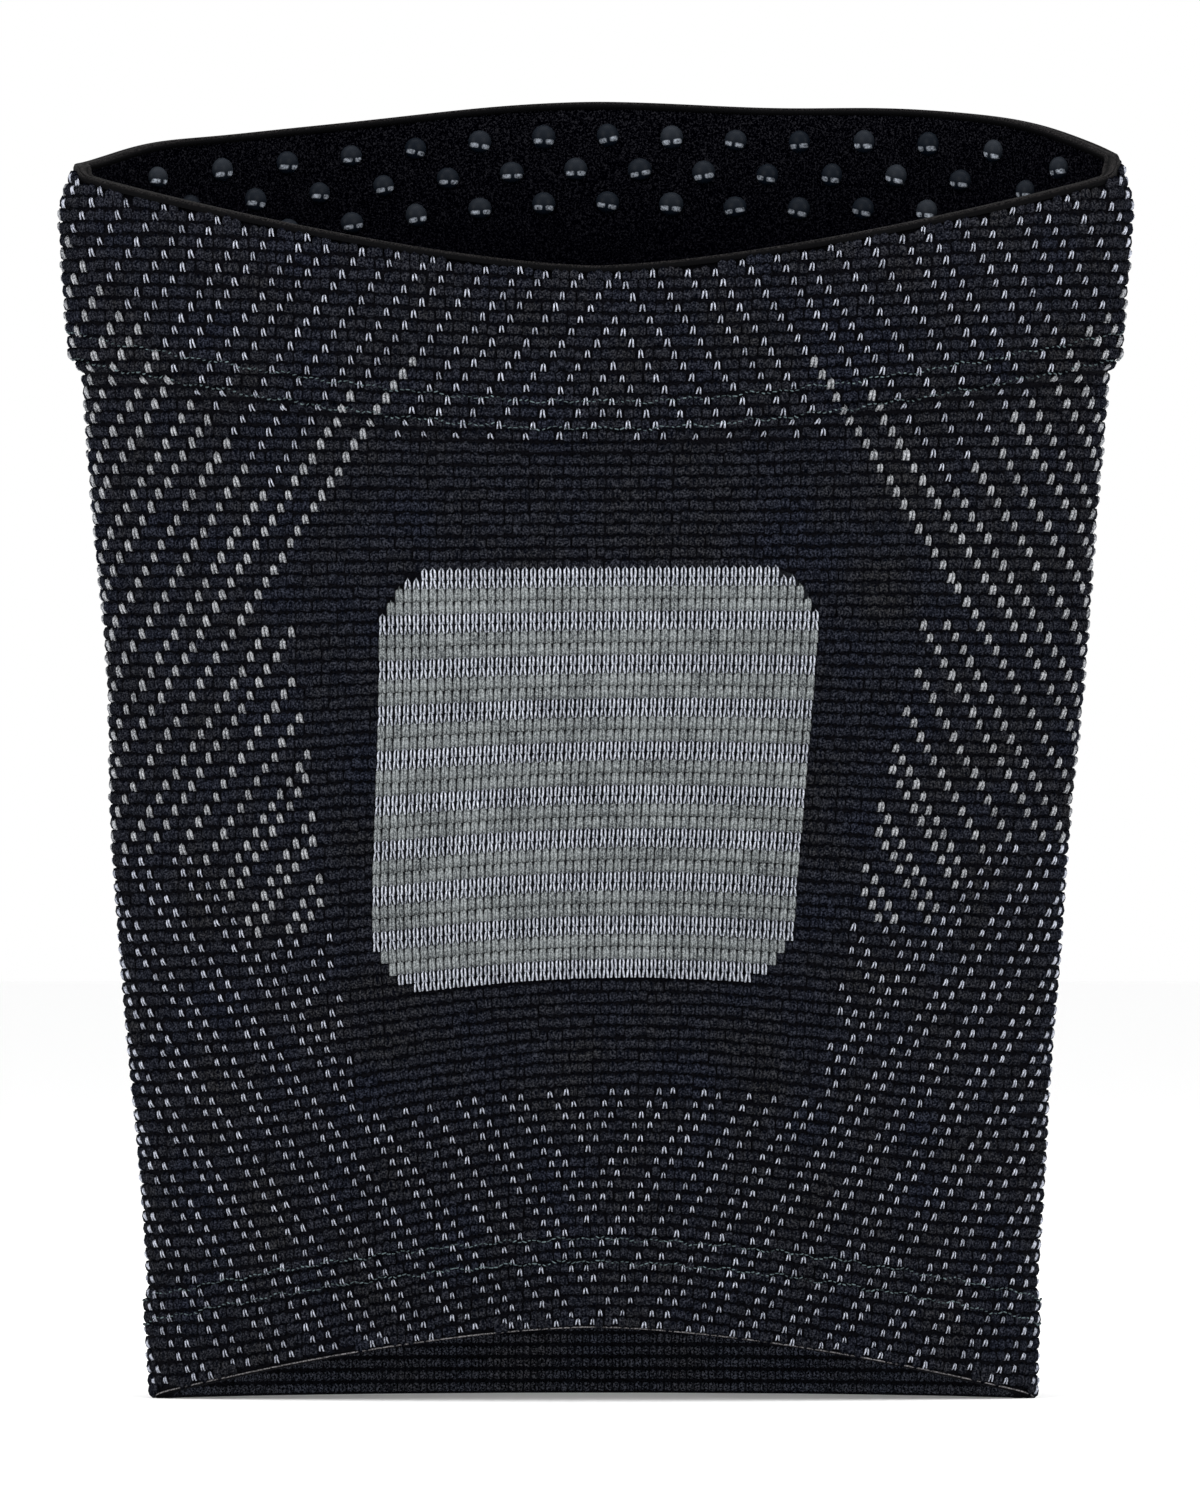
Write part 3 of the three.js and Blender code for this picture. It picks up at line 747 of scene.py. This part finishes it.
def panel_ground(name, finish):
    """The field's ground: a thin cushion of cloth set into the sleeve, closed all round."""
    outline = rounded_outline()
    middle_height = np.array(PANEL_CENTRE_HEIGHT)
    width = TOP_HALF_WIDTH * outline_at(OUTLINE_WIDTH, middle_height)
    depth = FRONT_DEPTH * outline_at(OUTLINE_FRONT, middle_height)
    radius, _, turn = face_arc(width, depth)
    wale_pitch = radius * np.sin(turn) / FACE_WALES
    reaches = np.linspace(0, 1, PANEL_RINGS + 1)[1:]
    loops = []
    for reach in reaches:
        share = (reach - PANEL_EDGE_START) / (1 - PANEL_EDGE_START)
        loops.append((reach, PANEL_GROUND_LIFT - PANEL_EDGE_FALL * smooth(share)))
    loops += [(reach, CLEARANCE - PANEL_SEAT) for reach in reaches[::-1]]
    points = [skin(np.zeros(1), np.full(1, middle_height), PANEL_GROUND_LIFT)]
    for reach, lift in loops:
        spots = reach * outline
        heights_here = PANEL_CENTRE_HEIGHT + spots[:, 1] + PANEL_TILT * spots[:, 0]
        points.append(skin(spots[:, 0] / wale_pitch, heights_here, lift))
    points.append(skin(np.zeros(1), np.full(1, middle_height), CLEARANCE - PANEL_SEAT))
    points = np.concatenate(points) * MILLIMETRE
    faces, last = [], len(points) - 1
    for spoke in range(PANEL_SPOKES):
        after = (spoke + 1) % PANEL_SPOKES
        faces.append([0, 1 + spoke, 1 + after])
        for loop in range(len(loops) - 1):
            here, there = 1 + loop * PANEL_SPOKES, 1 + (loop + 1) * PANEL_SPOKES
            faces.append([here + spoke, there + spoke, there + after, here + after])
        end = 1 + (len(loops) - 1) * PANEL_SPOKES
        faces.append([last, end + after, end + spoke])
    mesh = bpy.data.meshes.new(name)
    mesh.from_pydata(points.tolist(), [], faces)
    return finished_piece(name, mesh, finish)


panel_cloth_finish = yarn_finish("panel_ground_yarn", (4, 5, 8), (34, 36, 40), relief=0.1)
kneecap_ground = panel_ground("kneecap_ground", panel_cloth_finish)
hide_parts("kneecap_panel")

# Rows of the field from its top: white pair, then two grey courses, and a white pair at the foot
rows = []
course = PANEL_TOP_COURSE
for band in range(WHITE_BANDS):
    kinds = ["white_upper", "white_lower"] + (["grey", "grey"] if band < WHITE_BANDS - 1 else [])
    for kind in kinds:
        tall = GREY_COURSE if kind == "grey" else WHITE_COURSE
        rows.append({"kind": kind, "course": course + tall / 2, "tall": tall})
        course += tall
for index, row in enumerate(rows):
    nearer = min(index, len(rows) - 1 - index)
    row["reach"] = CORNER_REACHES[min(nearer, len(CORNER_REACHES) - 1)]

white_finish = yarn_finish("white_yarn", (96, 100, 110), (218, 222, 232), relief=0.1)
panel_grey_finish = yarn_finish("panel_grey_yarn", (44, 48, 51), (153, 158, 159), relief=0.16)
upper_loop = two_legs("white_upper_loop", 0.22, 0.28, 0.19, 0.28, 0.25)
lower_loop = two_legs("white_lower_loop", 0.34, 0.24, 0.19, 0.2, 0.1)
grey_loop = two_legs("panel_grey_loop", 0.22, 0.2, 0.34, 0.37, 0.0)
panel_loops = {
    "white_upper": (upper_loop, 1.38, 1.3, white_finish),
    "white_lower": (lower_loop, 1.38, 1.25, white_finish),
    "grey": (grey_loop, 1.5, 1.12, panel_grey_finish),
}
for seed, (kind, (loop, width, stretch, finish)) in enumerate(panel_loops.items()):
    kind_rows = [row for row in rows if row["kind"] == kind]
    spans = [np.arange(-row["reach"], row["reach"] + 1.0) for row in kind_rows]
    kind_wales = PANEL_MIDDLE + np.concatenate(spans)
    row_courses = [np.full(len(span), row["course"]) for span, row in zip(spans, kind_rows)]
    kind_courses = np.concatenate(row_courses)
    tall = kind_rows[0]["tall"] * course_pitch(kind_wales)
    places = stitch_places(*knit_place(kind_wales, kind_courses), PANEL_STITCH_LIFT)
    depths = np.full_like(tall, PANEL_STITCH_DEPTH)
    sizes = np.stack([width * places[3] / USUAL_WALE, stretch * tall, depths], axis=-1)
    piece = set_stitches(
        f"kneecap_{kind}", loop, finish, places, sizes, turn=0.05, swell=0.05, seed=211 + seed
    )

# The brushed band inside the top rim: a soft black nap that lies against the thigh, stitched in along
# both its edges, with three staggered rows of clear silicone domes cast onto it so that it can't slip.
GRIP_THICKNESS = 1
GRIP_ROWS = 40
DOT_ROWS = 3
DOT_FIRST_DROP = 5.3
DOT_ROW_PITCH = 6.4
DOTS_IN_ROW = 34
DOT_TURN = 0.83
DOT_RADIUS = 2.25
DOT_HEIGHT = 1.5
DOT_ROOT = 0.4
GLINT_ACROSS, GLINT_DROP = 0.48, 0.36  # where each dome's painted highlights sit, in its own radius
NAP_DARK_HEIGHT, NAP_LIT_HEIGHT = 0.21, 0.247  # in metres: painted light, the nap paler towards the rim where light reaches it


def lining_piece(name, tops, depth, thickness, rows_inside, ripple, finish):
    """A band of cloth that lies inside the sleeve, between two heights."""
    shares = np.concatenate([np.linspace(0, 1, 6), np.linspace(1, 0, rows_inside)])[None, :]
    heights_here = tops[:, None] - shares * depth
    column_here = np.repeat(wales[:, None], heights_here.shape[1], axis=1)
    lifts_here = proud(column_here, heights_here) - WALL - CLEARANCE
    lifts_here[:, 6:] -= thickness
    lifts_here[:, 6:] += ripple(heights_here[:, 6:])
    return ring_piece(name, wales, heights_here, lifts_here, finish)


def nap_colour(shade):
    fluff = shade.speckle(0.36, 2, 0.7).between(0.5, 0.76)
    lit = shade.node("ShaderNodeTexCoord", {}, {}, "Object").part("Z")
    lit = lit.between(NAP_DARK_HEIGHT, NAP_LIT_HEIGHT)
    return (fluff * (0.2 + 0.8 * lit)).mixed(srgb(0, 0, 2), srgb(42, 42, 47))


def nap_bump(shade):
    return shade.speckle(0.35, 4, 0.75).relief(0.25, 0.8)


nap_settings = {"Roughness": 1.0, "Specular IOR Level": 0.0, "shown": srgb(18, 18, 21)}
nap_finish = new_finish("brushed_nap", nap_settings, nap_colour, nap_bump)
inner_band = lining_piece(
    "inner_band", cloth_top(wales), BAND_HEIGHT, GRIP_THICKNESS, GRIP_ROWS, np.zeros_like, nap_finish
)


def dome():
    """A round drop of silicone of unit size, with its place across and up kept for its colour and
    painted highlights.
    """
    sides, rings = 14, 4
    root = -DOT_ROOT / DOT_HEIGHT
    points, places, profile = [(0, 0, root)], [(0, 0, 0)], [(1.0, root)]
    for ring in range(rings):
        climb = math.pi / 2 * ring / rings
        profile.append((math.cos(climb), math.sin(climb)))
    for radius, height in profile:
        for side in range(sides):
            angle = 2 * math.pi * side / sides
            points.append((radius * math.cos(angle), radius * math.sin(angle), height))
            places.append((radius * math.cos(angle), radius * math.sin(angle), 0))
    points.append((0, 0, 1))
    places.append((0, 0, 0))
    faces = [[0, 1 + (side + 1) % sides, 1 + side] for side in range(sides)]
    for ring in range(len(profile) - 1):
        here, there = 1 + ring * sides, 1 + (ring + 1) * sides
        for side in range(sides):
            after = (side + 1) % sides
            faces.append([here + side, here + after, there + after, there + side])
    crown = 1 + (len(profile) - 1) * sides
    faces += [[len(points) - 1, crown + side, crown + (side + 1) % sides] for side in range(sides)]
    made = template("silicone_dome", points, faces)
    vertex_attribute(made.data, "dome_place", places)
    return made


def silicone_colour_and_glints(shade):
    place = shade.attribute("dome_place", "Vector")
    across, up = place.part("X"), place.part("Y")
    # Painted highlights: two pale patches low on each dome, where light through the silicone gathers.
    beside = (abs(abs(across) - GLINT_ACROSS) * 2.7) ** 4
    below = (abs(up + GLINT_DROP) * 4.6) ** 4
    painted_glints = (1 - beside - below).kept()
    # Painted light: each dome is painted a little paler towards its top.
    clear = (up * 0.5 + 0.5).kept() * (0.01 + 0.03 * shade.attribute("tint"))
    streaks = shade.speckle(0.4, 1).between(0.25, 0.75) * (0.6 + 0.4 * shade.attribute("tint"))
    return (painted_glints * streaks + clear).kept().mixed(srgb(4, 9, 17), srgb(190, 198, 210))


silicone_settings = {"Roughness": 0.35, "Specular IOR Level": 0.04, "IOR": 1.41}
silicone_settings["shown"] = srgb(24, 32, 42)
silicone_finish = new_finish("silicone", silicone_settings, silicone_colour_and_glints)
dot_wales, dot_heights = [], []
for row in range(DOT_ROWS):
    shift = 0.5 * (row % 2)
    row_wales = WALES * (np.arange(DOTS_IN_ROW) + shift + DOT_TURN) / DOTS_IN_ROW
    dot_wales.append(row_wales)
    dot_heights.append(cloth_top(row_wales) - DOT_FIRST_DROP - row * DOT_ROW_PITCH)
dot_wales, dot_heights = np.concatenate(dot_wales), np.concatenate(dot_heights)
inward = -WALL - CLEARANCE - GRIP_THICKNESS
centre, facing, up, width = stitch_places(dot_wales, dot_heights, inward)
places = (centre, -facing, up, width)
dot_sizes = np.tile([DOT_RADIUS, DOT_RADIUS, DOT_HEIGHT], (len(dot_wales), 1))
silicone_domes = set_stitches(
    "silicone_domes", dome(), silicone_finish, places, dot_sizes, turn=0.22, swell=0.07, seed=301
)
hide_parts("grip_band")

# The edging of the top rim: a narrow satin tape folded over the raw tops of the cloth and of the inner
# band, sewn down by two rows, so that it shows a ridge along each of its edges with a valley between.
EDGING_OVERHANG = 0.25
EDGING_SIDES = 9
CORNER_DRAW = 0.9
VALLEY, VALLEY_SHARPNESS = 0.55, 0.7  # height of the valley as a share of the ridges', and its shape
TURNED_EDGE = 0.3
FLANK, FLANK_DROP = 0.2, 0.5  # thickness of the tape's sides, and how far they reach down the cloth
outer_edge = BAND_PROUD + EDGING_OVERHANG
inner_edge = BAND_PROUD - WALL - CLEARANCE - GRIP_THICKNESS - EDGING_OVERHANG


def edging_colour_and_sheen(shade):
    # Painted sheen: the tape is painted paler on its two ridges as highlights, and near black in the
    # valley between.
    threads = shade.speckle(0.3, 1, 0.6).between(0.4, 0.7)
    return (threads * shade.attribute("ridge")).mixed(srgb(2, 2, 3), srgb(44, 42, 42))


def edging_bump(shade):
    return shade.speckle(0.3, 2).relief(0.1, 0.5)


edging_settings = {"Roughness": 0.7, "Specular IOR Level": 0.04, "shown": srgb(24, 23, 23)}
edging_finish = new_finish("satin_tape", edging_settings, edging_colour_and_sheen, edging_bump)
shares = np.linspace(0, 1, 2 * EDGING_SIDES)
ridges = np.abs(np.cos(2 * np.pi * shares)) ** VALLEY_SHARPNESS
crown = EDGING_HEIGHT * (VALLEY + (1 - VALLEY) * ridges)
crown[[0, -1]] = TURNED_EDGE * EDGING_HEIGHT
over = outer_edge + shares * (inner_edge - outer_edge)
inner_flank, outer_flank = inner_edge + FLANK, outer_edge - FLANK
under = [inner_edge, inner_flank, inner_flank, outer_flank, outer_flank, outer_edge]
below = [-FLANK_DROP, -FLANK_DROP, 0, 0, -FLANK_DROP, -FLANK_DROP]
section_lift = np.concatenate([over, under])[::-1]
section_rise = np.concatenate([crown, below])[::-1]
fine_wales = np.arange(0, WALES, 0.5)
edging_heights = rim_height(fine_wales)[:, None] - EDGING_HEIGHT + section_rise[None, :]
drawn_in = smooth((side_of(fine_wales)[2] - CORNER_START) / (1 - CORNER_START))[:, None]
is_outer = (section_lift > BAND_PROUD - 1)[None, :]
edging_lifts = section_lift[None, :] - CORNER_DRAW * drawn_in * is_outer
edging_lifts = edging_lifts - tuck(fine_wales, cloth_top(fine_wales))[:, None]
rim_tape = ring_piece("rim_tape", fine_wales, edging_heights, edging_lifts, edging_finish)
ridge = np.clip(section_rise / EDGING_HEIGHT * 2.6 - 1.6, 0, 1)  # where the painted sheen lies: 1 on the ridges, 0 in the valley
ridge_layer = rim_tape.data.attributes.new("ridge", "FLOAT", "POINT")
ridge_layer.data.foreach_set("value", np.tile(ridge, len(fine_wales)).astype(np.float32))
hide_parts("rim_edging")

# The hem inside the lower rim: the knit turned up inside itself, with its ribs running round the leg.
# Its turned edge shows as a fine pale grey line along the arch at the front.
HEM_THICKNESS = 1.4
HEM_RIB = 2.3
HEM_ROWS = 54
HEM_RIPPLE, HEM_SINK = 0.25, 0.1
HEM_KNOB, HEM_KNOB_DEPTH = 1.1, 0.9
EDGE_THREAD, EDGE_RISE, EDGE_SINK = 0.14, 0.25, 0.5


def hem_ripple(heights_here):
    """Ribs of the turned-up knit, by height."""
    return HEM_RIPPLE * np.abs(np.sin(np.pi * heights_here / HEM_RIB)) - HEM_SINK


hem_finish = yarn_finish("hem_yarn", (4, 4, 7), (36, 37, 44))
hem_tops = lower_height(wales) + HEM_HEIGHT
hem_lining = lining_piece(
    "hem_lining", hem_tops, HEM_HEIGHT, HEM_THICKNESS, HEM_ROWS, hem_ripple, hem_finish
)
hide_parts("lower_hem")

hem_courses = np.arange(0.5, HEM_HEIGHT / HEM_RIB)
hem_wales, hem_rises = np.meshgrid(wales, hem_courses * HEM_RIB, indexing="ij")
hem_wales, hem_rises = hem_wales.ravel(), hem_rises.ravel()
inward = -WALL - CLEARANCE - HEM_THICKNESS
centre, facing, up, width = stitch_places(hem_wales, lower_height(hem_wales) + hem_rises, inward)
places = (centre, -facing, up, width)
rib_heights = np.full_like(width, HEM_KNOB * HEM_RIB)
hem_sizes = np.stack([HEM_KNOB * width, rib_heights, np.full_like(width, HEM_KNOB_DEPTH)], axis=-1)
# Painted light: the hem's black yarn is painted pale grey-blue, to look lit where it lies in the
# sleeve's shade.
hem_stitch_painted_light_finish = black_yarn("hem_stitch_yarn_painted_light", (116, 123, 143), (124, 125, 134))
hem_stitches = set_stitches("hem_stitches", knob, hem_stitch_painted_light_finish, places, hem_sizes, seed=401)

edge_finish = yarn_finish("edge_thread_yarn", (20, 20, 22), (132, 129, 131))
turns = np.linspace(0, 2 * np.pi, 8, endpoint=False)
edge_heights = lower_height(fine_wales)[:, None] + EDGE_RISE + EDGE_THREAD * np.sin(turns)[None, :]
edge_lifts = proud(fine_wales, edge_heights[:, 0])[:, None] - EDGE_SINK
edge_lifts = edge_lifts + EDGE_THREAD * np.cos(turns)[None, :]
hem_edge = ring_piece("hem_edge", fine_wales, edge_heights[:, ::-1], edge_lifts[:, ::-1], edge_finish)

# Two rows of twin-needle stitching hold the top band down and two more hold the hem. The thread is a
# dark green-grey and shows as short dashes that sink into the grooves of the knit.
DASH_PITCH_WALES = 0.625
DASH_LENGTH, DASH_THICKNESS = 0.76, 0.28
BAND_ROW_DROPS = ((25.7, 31), (30.8, 36))  # below the rim, at the middle of a face and at the folds
HEM_ROW_RISES = ((16.9, 18.6), (12.5, 14.0))  # above the lower rim
SEAM_WOBBLES = ((0.25, 1.9), (0.2, 0.83))  # how far the rows stray, and by what share of a wale
SEAM_LIFT = 0.42


def dash():
    """A short stitch of thread that dives into the cloth at both ends."""
    stations = ((-0.5, -0.4, 0.5), (-0.3, 0.3, 1), (0, 0.5, 1), (0.3, 0.3, 1), (0.5, -0.4, 0.5))
    points = []
    for x, z, thick in stations:
        for side in range(4):
            angle = math.radians(45 + 90 * side)
            points.append((x, 0.5 * thick * math.cos(angle), z + 0.5 * thick * math.sin(angle)))
    faces = [[0, 3, 2, 1], [16, 17, 18, 19]]
    for station in range(4):
        for side in range(4):
            here, there, after = 4 * station, 4 * (station + 1), (side + 1) % 4
            faces.append([here + side, here + after, there + after, there + side])
    return template("thread_dash", points, faces)


thread_finish = yarn_finish("seam_thread", (10, 14, 17), (98, 112, 115), relief=0.05, tint_weight=0.5)
dash_wales = np.arange(0, WALES, DASH_PITCH_WALES)
dash_across = side_of(dash_wales)[2]
seam_wales, seam_heights = [], []
for middle_drop, fold_drop in BAND_ROW_DROPS:
    seam_wales.append(dash_wales)
    seam_heights.append(rim_height(dash_wales) - middle_drop - (fold_drop - middle_drop) * dash_across)
for middle_rise, fold_rise in HEM_ROW_RISES:
    seam_wales.append(dash_wales)
    seam_heights.append(lower_height(dash_wales) + middle_rise + (fold_rise - middle_rise) * dash_across)
seam_wales, seam_heights = np.concatenate(seam_wales), np.concatenate(seam_heights)
for stray, share in SEAM_WOBBLES:
    seam_heights = seam_heights + stray * np.sin(seam_wales * share)
places = stitch_places(seam_wales, seam_heights, SEAM_LIFT)
dash_sizes = np.tile([DASH_LENGTH, DASH_THICKNESS, DASH_THICKNESS], (len(seam_wales), 1))
seam_threads = set_stitches(
    "seam_threads", dash(), thread_finish, places, dash_sizes, turn=0.5, swell=0.3, seed=501
)

# The studio: a wide white paper floor in a white room, soft light from both sides and above, and a
# long lens level with the middle of the sleeve.
FLOOR_RADIUS, FLOOR_SIDES = 9.0, 48
PAPER_WHITE = 0.97
floor_turns = np.arange(FLOOR_SIDES) / FLOOR_SIDES * 2 * math.pi
floor_rim = [
    (FLOOR_RADIUS * math.cos(turn), FLOOR_RADIUS * math.sin(turn), 0.0) for turn in floor_turns
]
floor_mesh = bpy.data.meshes.new("paper_floor")
floor_mesh.from_pydata(floor_rim, [], [list(range(FLOOR_SIDES))])
paper_floor = bpy.data.objects.new("paper_floor", floor_mesh)
bpy.context.scene.collection.objects.link(paper_floor)
paper_finish = bpy.data.materials.new("white_paper")
paper_finish.use_nodes = True
paper_shader = paper_finish.node_tree.nodes["Principled BSDF"]
paper_shader.inputs["Base Color"].default_value = (PAPER_WHITE, PAPER_WHITE, PAPER_WHITE, 1)
paper_shader.inputs["Roughness"].default_value = 0.9
paper_shader.inputs["Specular IOR Level"].default_value = 0.1
floor_mesh.materials.append(paper_finish)
paper_floor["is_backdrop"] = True

bpy.context.scene.view_settings.view_transform = "Standard"
world = bpy.data.worlds.new("studio")
world.use_nodes = True
world.node_tree.nodes["Background"].inputs["Color"].default_value = (1, 1, 1, 1)
world.node_tree.nodes["Background"].inputs["Strength"].default_value = 1.0
bpy.context.scene.world = world


def softbox(name, place, aim, size, power):
    """A soft rectangular light at a place, turned to face its aim. Its power is in watts."""
    light = bpy.data.lights.new(name, "AREA")
    light.shape = "RECTANGLE"
    light.size, light.size_y = size
    light.energy = power
    lamp = bpy.data.objects.new(name, light)
    lamp.location = place
    away = Vector(place) - Vector(aim)
    lamp.rotation_euler = away.to_track_quat("Z", "Y").to_euler()
    bpy.context.scene.collection.objects.link(lamp)


middle_of_sleeve = (0, 0, 0.12)
softbox("softbox_left", (-1.5, -1.6, 0.9), middle_of_sleeve, (1.0, 1.4), 25)
softbox("softbox_right", (1.5, -1.6, 0.9), middle_of_sleeve, (1.0, 1.4), 22)
softbox("softbox_above", (0, -0.3, 2.2), middle_of_sleeve, (1.6, 1.2), 18)

CAMERA_DISTANCE = 5.0
CAMERA_HEIGHT = 0.1231
CAMERA_SIDE = 0.0006
FRAME_HEIGHT = 0.285  # what the picture shows from top to bottom, at the folds
camera_data = bpy.data.cameras.new("camera")
camera_data.lens = camera_data.sensor_width * CAMERA_DISTANCE / FRAME_HEIGHT
camera_data.clip_end = 50
camera = bpy.data.objects.new("camera", camera_data)
camera.location = (CAMERA_SIDE, fold_plane * MILLIMETRE - CAMERA_DISTANCE, CAMERA_HEIGHT)
camera.rotation_euler = (math.pi / 2, 0, 0)
bpy.context.scene.collection.objects.link(camera)
bpy.context.scene.camera = camera

visual_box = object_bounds()
sizes = {"cad": [list(corner) for corner in cad_box], "visual": [list(corner) for corner in visual_box]}
